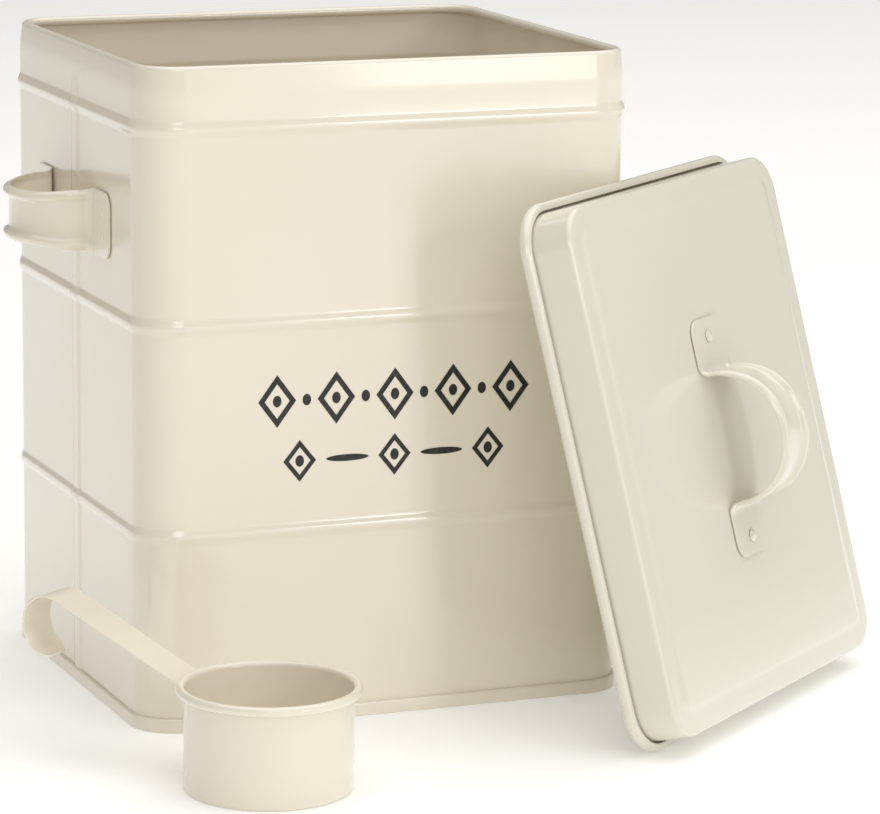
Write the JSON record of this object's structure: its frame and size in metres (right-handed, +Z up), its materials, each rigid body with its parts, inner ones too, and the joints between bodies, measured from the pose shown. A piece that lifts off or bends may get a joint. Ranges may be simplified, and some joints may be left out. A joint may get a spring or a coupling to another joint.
{
  "type": "laundry powder tin",
  "caption": "Tall rectangular enamelled steel storage tin with strap side handles, a lift-off lid leaning on its corner and a round measuring scoop with a hooked handle",
  "frame": {"origin": "middle of the set's footprint, on the surface it stands on", "axes": "+Z up; the tin's printed front faces -Y; +X runs along the front to the right, towards the leaning lid"},
  "size_m": [0.352, 0.2842, 0.25],
  "materials": {
    "tin_enamel": "gloss cream enamel",
    "handle_enamel": "gloss cream enamel",
    "lid_enamel": "gloss cream enamel, seen slightly greyer than the body",
    "scoop_enamel": "gloss cream enamel"
  },
  "bodies": {
    "root": {"tin_wall": "tin_enamel", "tin_base": "tin_enamel", "left_handle": "handle_enamel", "right_handle": "handle_enamel", "lid_shell": "lid_enamel", "lid_handle": "lid_enamel", "lid_rivet_upper": "lid_enamel", "lid_rivet_lower": "lid_enamel", "scoop_cup": "scoop_enamel", "scoop_handle": "scoop_enamel"}
  },
  "joints": []
}
